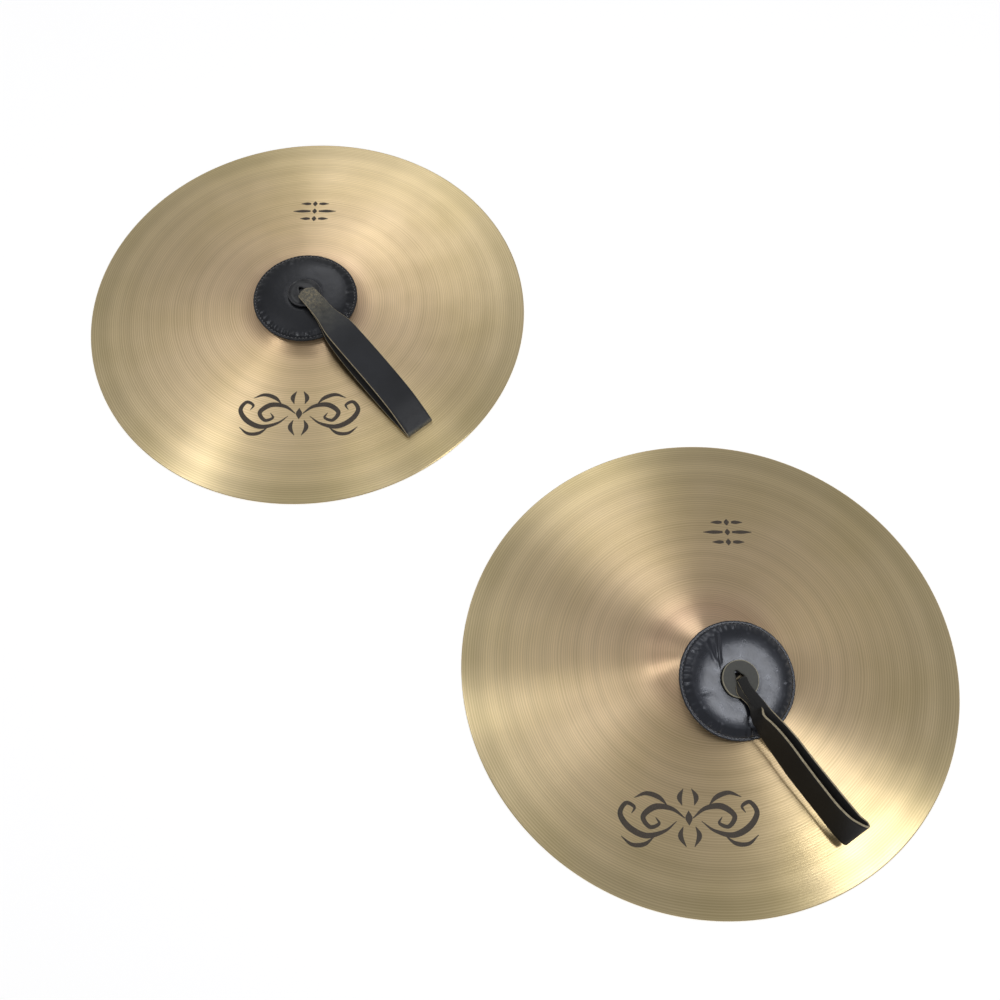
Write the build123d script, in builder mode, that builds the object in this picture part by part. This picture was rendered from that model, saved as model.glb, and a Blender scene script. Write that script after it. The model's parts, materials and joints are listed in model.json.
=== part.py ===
from build123d import *
import os
from math import atan2, cos, hypot, radians, sin, sqrt, tan

# A pair of hand cymbals, bell up on a flat surface, each with a leather pad and a hand strap
# knotted inside its bell. Millimetres, +X from the left cymbal to the right one, +Z up, origin
# on the surface midway between the two.

# Bronze plates
pair_spacing = 620.0
plate_radius = 254.0
plate_thickness = 1.5
bell_radius = 66.0
bell_top = 31.0
bow_rise = 15.0
bow_sagitta = 2.2
bell_base_fillet = 24.0
rim_height = 1.4
rim_land = 1.4
strap_hole_radius = 6.0

# Leather pads, as heights above the middle of their underside
pad_radius = 60.3
pad_leather = 1.2
pad_edge_height = 3.0
pad_middle_height = 4.6
pad_dish = 4.9
pad_hole_radius = 6.6
pad_bell_gap = 0.4
felt_radius = 56.0
stitch_count = 64
stitch_circle = 58.2
stitch_size = (2.6, 0.8)
stitch_stand = 0.35

# Leather washers
washer_radius = 19.0
washer_thickness = 2.6
washer_gap = 0.2
washer_hole_radius = 5.8

# Straps: leather strip, doubled into a hand loop
leather = 2.4
strap_width = 34.0
neck_width = 10.0
neck_thickness = 2 * leather
hinge_clearance = 0.15

# Knots inside the bells, woven from the strap's four tails
tail_gap = 0.12
tail_top = 31.1
knot_top = 27.6
knot_layer = 4.6
knot_strip = 9.0
knot_heart = 2.4
knot_gap = 0.06
tail_end_reach = 29.0

# Left cymbal: pad centred, strap lying flat with its upper leg arched over the lower one
left_strap_turn = -5.3
left_loop_reach = 212.0
left_loop_slope = 10.2
left_loop_arch = 15.0
left_root_width = 20.0
left_root_length = 24.0
left_root_radius = leather
left_hinge_lift = left_root_radius + 0.8

# Right cymbal: pad slid down off the bell, strap lying on its edge
right_pad_turn = -6.8
right_pad_offset = 35.2
right_pad_tilt = 14.0
right_pad_seat_gap = 0.35
right_loop_turn = -11.4
right_loop_reach = 182.0
right_loop_slope = 5.8
right_loop_lean = 36.0
right_loop_gap = 24.0
right_root_radius = 4.8
right_hinge_lift = right_root_radius + 1.2

left_axis = Vector(-pair_spacing / 2, 0, 0)
right_axis = Vector(pair_spacing / 2, 0, 0)


def arc_height(place, start, end, sagitta):
    """Height at a place along the shallow arc from start to end that rises by its sagitta."""
    chord = hypot(end[0] - start[0], end[1] - start[1])
    radius = (chord**2 / 4 + sagitta**2) / (2 * sagitta)
    tilt = atan2(end[1] - start[1], end[0] - start[0])
    middle = ((start[0] + end[0]) / 2, (start[1] + end[1]) / 2)
    drop = radius - sagitta
    centre = (middle[0] + drop * sin(tilt), middle[1] - drop * cos(tilt))
    return centre[1] + sqrt(radius**2 - (place - centre[0]) ** 2)


def bell_height(radius):
    return arc_height(radius, (-bell_radius, bow_rise), (bell_radius, bow_rise), bell_top - bow_rise)


def bow_height(radius):
    return arc_height(radius, (bell_radius, bow_rise), (plate_radius, rim_height), bow_sagitta)


def dome_height(radius, middle, edge):
    """Height at a radius on the pad's round crown, from its height at the middle and at the edge."""
    return arc_height(radius, (-pad_radius, edge), (pad_radius, edge), middle - edge)


def pad_under(radius):
    return dome_height(radius, 0, -pad_dish)


def pad_over(radius):
    return dome_height(radius, pad_middle_height, pad_edge_height - pad_dish)


def heading(turn, slope=0.0):
    """Unit vector that points at a turn about +Z and down by a slope, in degrees."""
    level = cos(radians(slope))
    return Vector(level * cos(radians(turn)), level * sin(radians(turn)), -sin(radians(slope)))


def upright_plane(origin, turn, tilt=0.0):
    """Plane whose local x runs outward at a turn, down by a tilt, and whose local y points up."""
    return Plane(origin=origin, x_dir=heading(turn, tilt), z_dir=heading(turn - 90))


def save(part, label):
    part.label = label
    export_step(part, f"parts/{label}.step")


# Where the pads and the strap hinges are
left_pad = upright_plane(left_axis + Vector(0, 0, bell_top + pad_bell_gap), left_strap_turn)

tilt = radians(right_pad_tilt)
seat_radius = right_pad_offset + pad_radius * cos(tilt)
seat_height = bow_height(seat_radius) + right_pad_seat_gap
right_pad_radius = right_pad_offset + pad_dish * sin(tilt)
right_pad_height = seat_height + pad_radius * sin(tilt) + pad_dish * cos(tilt)
right_pad_foot = right_axis + right_pad_radius * heading(right_pad_turn) + Vector(0, 0, right_pad_height)
right_pad = upright_plane(right_pad_foot, right_pad_turn, right_pad_tilt)

washer_base = pad_middle_height + washer_gap
washer_top = washer_base + washer_thickness


def above_pad(pad, height):
    return pad.origin + height * pad.y_dir


left_hinge = above_pad(left_pad, washer_top + left_hinge_lift)
right_hinge = above_pad(right_pad, washer_top + right_hinge_lift)

# The right pad's slide over its bell is a turn about the point that also takes it to the centre
centred_height = bell_top + pad_bell_gap
slide_x = right_pad_radius
slide_z = right_pad_height - centred_height
half_slide = hypot(slide_x, slide_z) / 2
slide_arm = half_slide / tan(tilt / 2)
slide_centre_radius = slide_x / 2 + slide_arm * slide_z / (2 * half_slide)
slide_centre_height = centred_height + slide_z / 2 - slide_arm * slide_x / (2 * half_slide)
slide_centre = right_axis + slide_centre_radius * heading(right_pad_turn)
slide_centre += Vector(0, 0, slide_centre_height)


def make_plate(axis, label):
    middle = (bell_radius + plate_radius) / 2
    edge = plate_radius - 0.8
    half_bell = bell_radius / 2
    with BuildPart() as plate:
        with BuildSketch(upright_plane(axis, 0)) as profile:
            with BuildLine():
                ThreePointArc((0, bell_top), (half_bell, bell_height(half_bell)), (bell_radius, bow_rise))
                ThreePointArc((bell_radius, bow_rise), (middle, bow_height(middle)), (edge, bow_height(edge)))
                ThreePointArc((edge, bow_height(edge)), (plate_radius - 0.2, 1.2), (plate_radius, 0.8))
                Polyline((plate_radius, 0.8), (plate_radius, 0.4), (edge + 0.4, 0), (edge - rim_land, 0))
                ThreePointArc(
                    (edge - rim_land, 0),
                    (middle, bow_height(middle) - plate_thickness),
                    (bell_radius, bow_rise - plate_thickness),
                )
                ThreePointArc(
                    (bell_radius, bow_rise - plate_thickness),
                    (half_bell, bell_height(half_bell) - plate_thickness),
                    (0, bell_top - plate_thickness),
                )
                Line((0, bell_top - plate_thickness), (0, bell_top))
            make_face()
            bell_base = profile.vertices().group_by(Axis.X)[1]
            fillet(bell_base, radius=bell_base_fillet)
        revolve(axis=Axis(axis, (0, 0, 1)))
        with Locations(axis + Vector(0, 0, bell_top)):
            Hole(radius=strap_hole_radius)
    save(plate.part, label)


def revolve_on_pad(pad, outline):
    """Turn a closed outline about the pad's own middle line; its points are in the pad's plane."""
    with BuildPart() as turned:
        with BuildSketch(pad):
            with BuildLine():
                outline()
            make_face()
        revolve(axis=Axis(pad.origin, pad.y_dir))
    return turned.part


def arc_between(height, start, end):
    """Arc that follows a height law from one radius to another."""
    middle = (start + end) / 2
    ThreePointArc((start, height(start)), (middle, height(middle)), (end, height(end)))


def lining_top(radius):
    return pad_under(radius) + pad_leather


def cover_base(radius):
    return pad_over(radius) - pad_leather


def lining_outline():
    arc_between(pad_under, pad_hole_radius, pad_radius)
    Line((pad_radius, pad_under(pad_radius)), (pad_radius, lining_top(pad_radius)))
    arc_between(lining_top, pad_radius, pad_hole_radius)
    Line((pad_hole_radius, lining_top(pad_hole_radius)), (pad_hole_radius, pad_under(pad_hole_radius)))


def felt_outline():
    arc_between(lining_top, pad_hole_radius, felt_radius)
    Line((felt_radius, lining_top(felt_radius)), (felt_radius, cover_base(felt_radius)))
    arc_between(cover_base, felt_radius, pad_hole_radius)
    Line((pad_hole_radius, cover_base(pad_hole_radius)), (pad_hole_radius, lining_top(pad_hole_radius)))


def cover_outline():
    arc_between(cover_base, pad_hole_radius, felt_radius)
    Line((felt_radius, cover_base(felt_radius)), (felt_radius, lining_top(felt_radius)))
    arc_between(lining_top, felt_radius, pad_radius)
    Line((pad_radius, lining_top(pad_radius)), (pad_radius, pad_over(pad_radius)))
    arc_between(pad_over, pad_radius, pad_hole_radius)
    Line((pad_hole_radius, pad_over(pad_hole_radius)), (pad_hole_radius, cover_base(pad_hole_radius)))


def washer_outline():
    Polyline(
        (washer_hole_radius, washer_base),
        (washer_radius, washer_base),
        (washer_radius, washer_top),
        (washer_hole_radius, washer_top),
        close=True,
    )


def make_stitching(pad, label):
    low = pad_under(stitch_circle) - stitch_stand
    high = pad_over(stitch_circle) + stitch_stand
    seam = Plane(origin=pad.origin + low * pad.y_dir, x_dir=pad.x_dir, z_dir=pad.y_dir)
    with BuildPart() as stitching:
        with BuildSketch(seam):
            with PolarLocations(stitch_circle, stitch_count):
                SlotOverall(stitch_size[0], stitch_size[1], rotation=90)
        extrude(amount=high - low)
    save(stitching.part, label)


def make_pad(pad, side):
    save(revolve_on_pad(pad, cover_outline), f"pad_cover_{side}")
    save(revolve_on_pad(pad, lining_outline), f"pad_lining_{side}")
    save(revolve_on_pad(pad, felt_outline), f"pad_felt_{side}")
    save(revolve_on_pad(pad, washer_outline), f"strap_washer_{side}")
    make_stitching(pad, f"pad_stitching_{side}")


def make_neck(pad, low, high, label):
    """Doubled strap where it stands in the pad's hole, between two heights above the pad's underside."""
    foot = Plane(origin=pad.origin + low * pad.y_dir, x_dir=pad.x_dir, z_dir=pad.y_dir)
    with BuildPart() as neck:
        with BuildSketch(foot):
            RectangleRounded(neck_thickness, neck_width, radius=leather / 2)
        extrude(amount=high - low)
    save(neck.part, label)


def make_tails(axis, turn, label):
    """The four tails of the strap, side by side in the plate's hole."""
    tail = (leather - tail_gap, neck_width / 2 - tail_gap)
    with BuildPart() as tails:
        with BuildSketch(Plane(origin=axis + Vector(0, 0, knot_top), x_dir=heading(turn))):
            with GridLocations(leather, neck_width / 2, 2, 2):
                Rectangle(*tail)
        extrude(amount=tail_top - knot_top)
    save(tails.part, label)


def make_knot(axis, turn, label):
    """Crown knot: two layers of four strips, each laid against the next one's side."""
    strip = (2 * knot_heart + knot_strip - knot_gap, knot_strip - knot_gap)
    side_step = knot_heart + knot_strip / 2
    with BuildPart() as knot:
        for layer, hand in ((1, 1), (2, -1)):
            base = Plane(origin=axis + Vector(0, 0, knot_top - layer * knot_layer), x_dir=heading(turn))
            with BuildSketch(base):
                for quarter in range(4):
                    with Locations(Location((0, 0, 0), (0, 0, 90 * quarter))):
                        with Locations((hand * knot_strip / 2, side_step)):
                            RectangleRounded(*strip, radius=1.5)
            extrude(amount=knot_layer - knot_gap)
    save(knot.part, label)


def make_tail_ends(axis, turn, label):
    """Free ends of the tails, standing out from between the knot's strips."""
    knot_side = knot_heart + knot_strip
    length = tail_end_reach - knot_side
    middle_height = knot_top - 1.5 * knot_layer - leather / 2
    base = Plane(origin=axis + Vector(0, 0, middle_height), x_dir=heading(turn))
    with BuildPart() as ends:
        with BuildSketch(base):
            with PolarLocations(knot_side + length / 2, 4):
                Trapezoid(neck_width / 2 + 3, length, 80, rotation=-90)
        extrude(amount=leather)
    save(ends.part, label)


def make_left_loop():
    """Hand loop lying on its face: the lower leg straight, the upper leg arched, a creased end."""
    side = upright_plane(left_hinge, left_strap_turn)
    plan = Plane(origin=left_hinge, x_dir=side.x_dir)
    reach = left_loop_reach
    half = leather / 2
    parting = left_root_length + 18
    fall = tan(radians(left_loop_slope))

    def lower(place):
        return -half - fall * (place - left_root_length)

    def upper(share, arch):
        """Point of the upper leg, by its share of the reach and of the arch."""
        return (share * reach, lower(share * reach) + leather + arch * left_loop_arch)

    first = upper(0.3, 0.2)
    rise = (first[1] - half) / (first[0] - left_root_length)
    with BuildPart() as loop:
        with BuildSketch(side):
            with BuildLine():
                FilletPolyline(
                    (parting - 4, half + rise * (parting - 4 - left_root_length)),
                    first,
                    upper(0.58, 0.8),
                    upper(0.83, 1.0),
                    (reach + 1.5, lower(reach)),
                    (parting - 4, lower(parting - 4)),
                    radius=[60, 60, 25, 1.6],
                )
            trace(line_width=leather)
            Circle(left_root_radius)
            with BuildLine():
                Polyline(
                    (0, leather),
                    (left_root_length, leather),
                    (parting, leather - 0.1 + rise * (parting - left_root_length)),
                    (parting, 0.1 - leather - fall * (parting - left_root_length)),
                    (left_root_length, -leather),
                    (0, -leather),
                    close=True,
                )
            make_face()
        extrude(amount=strap_width / 2, both=True)
        with BuildSketch(plan):
            with BuildLine():
                Polyline(
                    (-left_root_radius - 1, -left_root_width / 2),
                    (0.18 * reach, -left_root_width / 2 - 1),
                    (0.36 * reach, -strap_width / 2),
                    (reach + 5, -strap_width / 2),
                    (reach + 5, strap_width / 2),
                    (0.36 * reach, strap_width / 2),
                    (0.18 * reach, left_root_width / 2 + 1),
                    (-left_root_radius - 1, left_root_width / 2),
                    close=True,
                )
            make_face()
        extrude(amount=bell_top + left_loop_arch, both=True, mode=Mode.INTERSECT)
    save(loop.part, "strap_loop_left")


def make_right_loop():
    """Hand loop lying on its edge and leaning, its legs apart, with a bunched root."""
    along = heading(right_loop_turn, right_loop_slope)
    left_hand = heading(right_loop_turn + 90)
    upright = along.cross(left_hand)
    lean = radians(right_loop_lean)
    across = upright * cos(lean) + left_hand * sin(lean)
    band = Plane(origin=right_hinge, x_dir=along, z_dir=across)
    face = Plane(origin=right_hinge, x_dir=along, z_dir=band.y_dir)
    root = Plane(origin=right_hinge, x_dir=along, z_dir=left_hand * -1)
    reach = right_loop_reach
    leg = right_loop_gap / 2 + leather / 2
    root_length = 0.21 * reach
    with BuildPart() as loop:
        with BuildSketch(band):
            with BuildLine():
                FilletPolyline(
                    (0.18 * reach, -leather / 2),
                    (0.44 * reach, -0.78 * leg),
                    (0.7 * reach, -leg),
                    (reach - leather / 2, -0.6 * leg),
                    (reach - leather / 2, 0.6 * leg),
                    (0.7 * reach, leg),
                    (0.44 * reach, 0.78 * leg),
                    (0.18 * reach, leather / 2),
                    radius=[50, 60, 6, 6, 60, 50],
                )
            trace(line_width=leather)
        extrude(amount=strap_width / 2, both=True)
        with BuildSketch(face):
            with BuildLine():
                Polyline(
                    (0.15 * reach, -neck_width / 2),
                    (0.25 * reach, -neck_width / 2 - 2),
                    (0.4 * reach, -strap_width / 2),
                    (reach, -strap_width / 2),
                    (reach, strap_width / 2),
                    (0.4 * reach, strap_width / 2),
                    (0.25 * reach, neck_width / 2 + 2),
                    (0.15 * reach, neck_width / 2),
                    close=True,
                )
            make_face()
        extrude(amount=right_loop_gap, both=True, mode=Mode.INTERSECT)
        with BuildSketch(root):
            Circle(right_root_radius)
            with Locations((root_length / 2, 0)):
                Rectangle(root_length, 2 * right_root_radius)
        extrude(amount=neck_width / 2, both=True)
    save(loop.part, "strap_loop_right")


def make_right_slack():
    """Spare strap that lies on the bell under the slid pad, from the plate's hole to the pad's."""
    side = upright_plane(right_axis, right_pad_turn)
    pad_end = Vector(right_pad_radius, right_pad_height) - 0.3 * Vector(sin(tilt), cos(tilt))
    pad_bend = pad_end - 2.2 * Vector(sin(tilt), cos(tilt))
    with BuildPart() as slack:
        with BuildSketch(side):
            with BuildLine():
                Polyline((0, tail_top + 0.1), (0, 35.2), pad_bend, pad_end)
            trace(line_width=neck_thickness)
        extrude(amount=neck_width / 2, both=True)
    save(slack.part, "strap_slack_right")


os.makedirs("parts", exist_ok=True)

for side, axis, pad, turn, hinge_lift, root_radius in (
    ("left", left_axis, left_pad, left_strap_turn, left_hinge_lift, left_root_radius),
    ("right", right_axis, right_pad, right_pad_turn, right_hinge_lift, right_root_radius),
):
    make_plate(axis, f"plate_{side}")
    make_pad(pad, side)
    make_neck(pad, -0.2, washer_top + hinge_lift - root_radius - hinge_clearance, f"strap_neck_{side}")
    make_tails(axis, turn, f"strap_tails_{side}")
    make_knot(axis, turn, f"strap_knot_{side}")
    make_tail_ends(axis, turn, f"strap_ends_{side}")

make_left_loop()
make_right_loop()
make_right_slack()

print("left hinge", left_hinge, "right hinge", right_hinge)
print("right pad foot", right_pad.origin, "axis", right_pad.y_dir)
print("right slide centre", slide_centre)
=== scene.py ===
import json
import math

import bmesh
import bpy
import numpy as np
from mathutils import Matrix, Vector, noise


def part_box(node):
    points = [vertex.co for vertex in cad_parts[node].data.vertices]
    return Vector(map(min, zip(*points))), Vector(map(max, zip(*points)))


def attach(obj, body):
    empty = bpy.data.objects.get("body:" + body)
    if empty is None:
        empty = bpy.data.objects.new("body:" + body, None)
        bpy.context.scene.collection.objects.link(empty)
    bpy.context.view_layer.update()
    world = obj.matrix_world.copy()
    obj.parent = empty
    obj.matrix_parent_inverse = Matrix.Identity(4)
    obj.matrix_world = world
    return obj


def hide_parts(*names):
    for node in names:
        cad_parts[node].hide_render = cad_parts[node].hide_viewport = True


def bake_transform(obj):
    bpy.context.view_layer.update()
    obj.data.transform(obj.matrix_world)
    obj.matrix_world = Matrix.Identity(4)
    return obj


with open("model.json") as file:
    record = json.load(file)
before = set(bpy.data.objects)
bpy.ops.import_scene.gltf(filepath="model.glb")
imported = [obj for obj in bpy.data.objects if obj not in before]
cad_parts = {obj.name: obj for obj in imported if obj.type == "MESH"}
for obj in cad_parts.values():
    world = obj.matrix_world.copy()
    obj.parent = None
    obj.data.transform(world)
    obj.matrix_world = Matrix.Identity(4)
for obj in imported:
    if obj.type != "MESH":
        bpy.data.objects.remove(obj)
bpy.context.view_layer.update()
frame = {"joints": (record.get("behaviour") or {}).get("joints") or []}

# The looks of a pair of hand cymbals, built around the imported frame. Metres throughout;
# MM turns a size in millimetres into metres.
MM = 0.001

# Bronze plates
PLATE_RADIUS = (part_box("plate_left")[1].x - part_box("plate_left")[0].x) / 2
BELL_TOP = 31 * MM
BELL_RADIUS = 66 * MM
BOW_RISE = 15 * MM
RIM_TOP = 1.4 * MM
BOW_SAGITTA = 2.2 * MM
BELL_BASE_BLEND = 11 * MM
BELL_BASE_SOFTNESS = BELL_BASE_BLEND / 4.2
PLATE_THICKNESS = 1.5 * MM
HOLE_RADIUS = 6 * MM
HAMMER_DEPTH = 0.05 * MM
PLATE_SEGMENTS = 288
GROOVE_PITCH = 2.4 * MM

# Leather pads
PAD_RADIUS = 60.3 * MM
PAD_HOLE = 6.6 * MM
PAD_MIDDLE = 4.6 * MM
PAD_DISH = 4.9 * MM
PAD_EDGE = 3.0 * MM
PAD_LEATHER = 1.2 * MM
FELT_RADIUS = 55.5 * MM
LINING_RADIUS = PAD_RADIUS - 0.8 * MM
FELT_GAP = 0.05 * MM
PLUMPNESS = {"left": 1.2 * MM, "right": 2.8 * MM}
PAD_SAG = 1.5 * MM
SEAM_RADIUS = 57.4 * MM
STITCHES = 84
STITCH_LENGTH = 2.5 * MM
THREAD_RADIUS = 0.42 * MM
GATHERS = {"left": 38, "right": 46}
GATHER_DEPTH = 2.2 * MM

# Leather washers and straps
WASHER_GAP = 0.2 * MM
WASHER_THICKNESS = 2.6 * MM
WASHER_RADIUS = 19 * MM
LEATHER = 2.4 * MM
WORN_REACH = 88 * MM

# Camera and floor: angles in degrees, the lens in millimetres
CAMERA_AZIMUTH = 44.8
CAMERA_ELEVATION = 63.3
CAMERA_DISTANCE = 1.398
CAMERA_TARGET = Vector((0.0254, -0.0174, 0))
CAMERA_LENS = 46.08
FLOOR_REACH = 9.0

SIDES = ("left", "right")
UP = Vector((0, 0, 1))


def joint(name):
    return next(j for j in frame["joints"] if j["name"] == name)


def joint_place(name):
    return Vector(joint(name)["pos_m"])


def joint_axis(name):
    return Vector(joint(name)["axis"]).normalized()


def plate_centre(side):
    """Where the axis of a plate meets the surface that it stands on."""
    place = joint_place(f"strap_swivel_{side}")
    return Vector((place.x, place.y, 0))


PLATE_CENTRE = {side: plate_centre(side) for side in SIDES}


# ---------------------------------------------------------------- small tools


def smooth(low, high, value):
    share = min(1.0, max(0.0, (value - low) / (high - low)))
    return share * share * (3 - 2 * share)


def arc_height(place, start, end, sagitta):
    """Height at a place along the shallow arc from start to end that rises by its sagitta."""
    chord = math.hypot(end[0] - start[0], end[1] - start[1])
    radius = (chord**2 / 4 + sagitta**2) / (2 * sagitta)
    tilt = math.atan2(end[1] - start[1], end[0] - start[0])
    drop = radius - sagitta
    centre_x = (start[0] + end[0]) / 2 + drop * math.sin(tilt)
    centre_z = (start[1] + end[1]) / 2 - drop * math.cos(tilt)
    return centre_z + math.sqrt(radius**2 - (place - centre_x) ** 2)


def wave(seed, value, scale=1.0):
    """Smooth noise between about -1 and 1 along one value."""
    return 2 * noise.noise(Vector((value * scale, seed * 7.31, seed * 1.73)))


def new_object(name, mesh, materials, location=(0, 0, 0)):
    thing = bpy.data.objects.new(name, mesh)
    bpy.context.scene.collection.objects.link(thing)
    thing.location = location
    for material in materials:
        mesh.materials.append(material)
    return thing


def mesh_from(name, points, faces, slots=None, smooth_shade=True):
    mesh = bpy.data.meshes.new(name)
    mesh.from_pydata([tuple(p) for p in points], [], faces)
    if slots is not None:
        mesh.polygons.foreach_set("material_index", slots)
    mesh.polygons.foreach_set("use_smooth", [smooth_shade] * len(mesh.polygons))
    mesh.update()
    return mesh


def face_outward(mesh):
    shape = bmesh.new()
    shape.from_mesh(mesh)
    bmesh.ops.recalc_face_normals(shape, faces=shape.faces)
    shape.to_mesh(mesh)
    shape.free()
    mesh.update()


def closed_object(name, points, faces, materials, slots=None, location=(0, 0, 0), smooth_shade=True):
    """Object with a closed mesh whose faces look outward."""
    mesh = mesh_from(name, points, faces, slots, smooth_shade)
    face_outward(mesh)
    return new_object(name, mesh, materials, location)


def ring_faces(rows, around):
    """Faces of rows of points, each row a closed ring, where the last row joins the first."""
    faces = []
    for i in range(rows):
        here, beyond = i * around, (i + 1) % rows * around
        for j in range(around):
            k = (j + 1) % around
            faces.append((here + j, here + k, beyond + k, beyond + j))
    return faces


def spline(points, steps):
    """Catmull-Rom curve through the points, with a number of steps to each span."""
    rows = [np.array(p, float) for p in points]
    rows = [2 * rows[0] - rows[1]] + rows + [2 * rows[-1] - rows[-2]]
    curve = []
    for i in range(1, len(rows) - 2):
        p0, p1, p2, p3 = rows[i - 1 : i + 3]
        for k in range(steps):
            t = k / steps
            curve.append(
                0.5
                * (
                    2 * p1
                    + (p2 - p0) * t
                    + (2 * p0 - 5 * p1 + 4 * p2 - p3) * t * t
                    + (3 * p1 - p0 - 3 * p2 + p3) * t**3
                )
            )
    curve.append(rows[-2])
    return curve


# ------------------------------------------------------------------ materials


class Shader:
    """Short way to build a material's nodes."""

    def __init__(self, name):
        self.material = bpy.data.materials.new(name)
        self.material.use_nodes = True
        self.tree = self.material.node_tree
        self.main = self.tree.nodes["Principled BSDF"]

    def node(self, kind, **inputs):
        made = self.tree.nodes.new(kind)
        for key, value in inputs.items():
            made.inputs[key.replace("_", " ")].default_value = value
        return made

    def link(self, source, target):
        self.tree.links.new(source, target)

    def coords(self):
        return self.node("ShaderNodeTexCoord").outputs["Object"]

    def noise(self, scale, detail=4.0, roughness=0.55):
        """Noise through space."""
        made = self.node("ShaderNodeTexNoise", Scale=scale, Detail=detail, Roughness=roughness)
        self.link(self.coords(), made.inputs["Vector"])
        return made.outputs["Fac"]

    def noise_along(self, value, scale, detail, roughness):
        """Noise along one value: rings, where the value is a radius."""
        made = self.node("ShaderNodeTexNoise", Scale=scale, Detail=detail, Roughness=roughness)
        made.noise_dimensions = "1D"
        self.link(value, made.inputs["W"])
        return made.outputs["Fac"]

    def voronoi(self, scale, feature="F1"):
        made = self.node("ShaderNodeTexVoronoi")
        made.feature = feature
        made.inputs["Scale"].default_value = scale
        self.link(self.coords(), made.inputs["Vector"])
        return made.outputs["Distance"]

    def math(self, operation, a, b=0.0, clamp=False):
        made = self.node("ShaderNodeMath")
        made.operation = operation
        made.use_clamp = clamp
        for socket, value in zip(made.inputs, (a, b)):
            if isinstance(value, (int, float)):
                socket.default_value = value
            else:
                self.link(value, socket)
        return made.outputs[0]

    def ramp(self, factor, stops):
        made = self.node("ShaderNodeValToRGB")
        self.link(factor, made.inputs["Fac"])
        elements = made.color_ramp.elements
        while len(elements) < len(stops):
            elements.new(0.5)
        for element, (place, colour) in zip(elements, stops):
            element.position = place
            element.color = (*colour, 1)
        return made.outputs["Color"]

    def range(self, value, low, high, to_low=0.0, to_high=1.0):
        made = self.node("ShaderNodeMapRange")
        made.inputs["From Min"].default_value = low
        made.inputs["From Max"].default_value = high
        made.inputs["To Min"].default_value = to_low
        made.inputs["To Max"].default_value = to_high
        self.link(value, made.inputs["Value"])
        return made.outputs["Result"]

    def mix(self, factor, a, b, blend="MIX"):
        made = self.node("ShaderNodeMix")
        made.data_type = "RGBA"
        made.blend_type = blend
        for socket, value in ((made.inputs[0], factor), (made.inputs[6], a), (made.inputs[7], b)):
            if isinstance(value, (int, float)):
                socket.default_value = value
            elif isinstance(value, tuple):
                socket.default_value = (*value, 1)
            else:
                self.link(value, socket)
        return made.outputs[2]

    def bump(self, height, strength, distance):
        made = self.node("ShaderNodeBump", Strength=strength, Distance=distance)
        self.link(height, made.inputs["Height"])
        return made.outputs["Normal"]

    def finish(self, colour=None, roughness=None, normal=None, **values):
        for key, value in (("Base Color", colour), ("Roughness", roughness), ("Normal", normal)):
            if value is None:
                continue
            if isinstance(value, tuple):
                self.main.inputs[key].default_value = (*value, 1)
            elif isinstance(value, (int, float)):
                self.main.inputs[key].default_value = value
            else:
                self.link(value, self.main.inputs[key])
        for key, value in values.items():
            self.main.inputs[key.replace("_", " ")].default_value = value
        return self.material


def bronze_material():
    """Turned bell bronze: rings cut by the lathe tool, with painted shade in their valleys, cloudy tints,
    redder towards the bell.
    """
    s = Shader("bronze")
    split = s.node("ShaderNodeSeparateXYZ")
    s.link(s.coords(), split.inputs[0])
    square = s.math("ADD", s.math("MULTIPLY", split.outputs[0], split.outputs[0]),
                    s.math("MULTIPLY", split.outputs[1], split.outputs[1]))
    wobble = s.math("MULTIPLY", s.noise(14, 2), 0.0016)
    radius = s.math("ADD", s.math("SQRT", square), wobble)
    drift = s.math("MULTIPLY", s.noise_along(radius, 90, 2, 0.5), 9.0)
    turns = s.math("ADD", s.math("MULTIPLY", radius, 2 * math.pi / GROOVE_PITCH), drift)
    tool_marks = s.math("MULTIPLY", s.math("SINE", turns), s.noise_along(radius, 150, 1.5, 0.5))
    fine = s.noise_along(radius, 1300, 2, 0.6)
    broad = s.noise_along(radius, 60, 2, 0.5)
    grooves = s.math("ADD", s.math("MULTIPLY", tool_marks, 0.9), fine)
    cloud = s.noise(7, 3, 0.55)
    tint = s.ramp(radius, [
        (0.0, (0.80, 0.60, 0.40)),
        (0.055, (0.80, 0.58, 0.40)),
        (0.085, (0.84, 0.65, 0.43)),
        (0.20, (0.84, 0.68, 0.43)),
        (0.254, (0.78, 0.65, 0.40)),
    ])
    shade = s.mix(s.range(broad, 0.3, 0.7), (0.93, 0.92, 0.90), (1.05, 1.04, 1.03))
    colour = s.mix(1.0, tint, shade, "MULTIPLY")
    patina = s.mix(s.range(cloud, 0.4, 0.68), (1.0, 1.0, 1.0), (0.90, 0.90, 0.82))
    colour = s.mix(1.0, colour, patina, "MULTIPLY")
    # Painted shade in the valleys of the lathe grooves, and a faint painted highlight on their crests.
    painted_groove_shade = s.mix(s.range(grooves, 0.1, 0.95), (0.88, 0.86, 0.82), (1.05, 1.05, 1.05))
    colour = s.mix(1.0, colour, painted_groove_shade, "MULTIPLY")
    rough = s.range(s.noise(9, 3), 0.3, 0.7, 0.29, 0.38)
    normal = s.bump(grooves, 1.0, 0.00004)
    tangent = s.node("ShaderNodeTangent")
    tangent.direction_type = "RADIAL"
    tangent.axis = "Z"
    s.link(tangent.outputs[0], s.main.inputs["Tangent"])
    return s.finish(colour, rough, normal, Metallic=1.0, Anisotropic=0.86,
                    Anisotropic_Rotation=0.25)


def ink_material():
    s = Shader("ink")
    speck = s.noise(900, 3)
    colour = s.ramp(speck, [(0.35, (0.050, 0.038, 0.028)), (0.7, (0.105, 0.082, 0.060))])
    return s.finish(colour, s.range(speck, 0.3, 0.7, 0.45, 0.7), s.bump(speck, 0.2, 0.00005))


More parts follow.
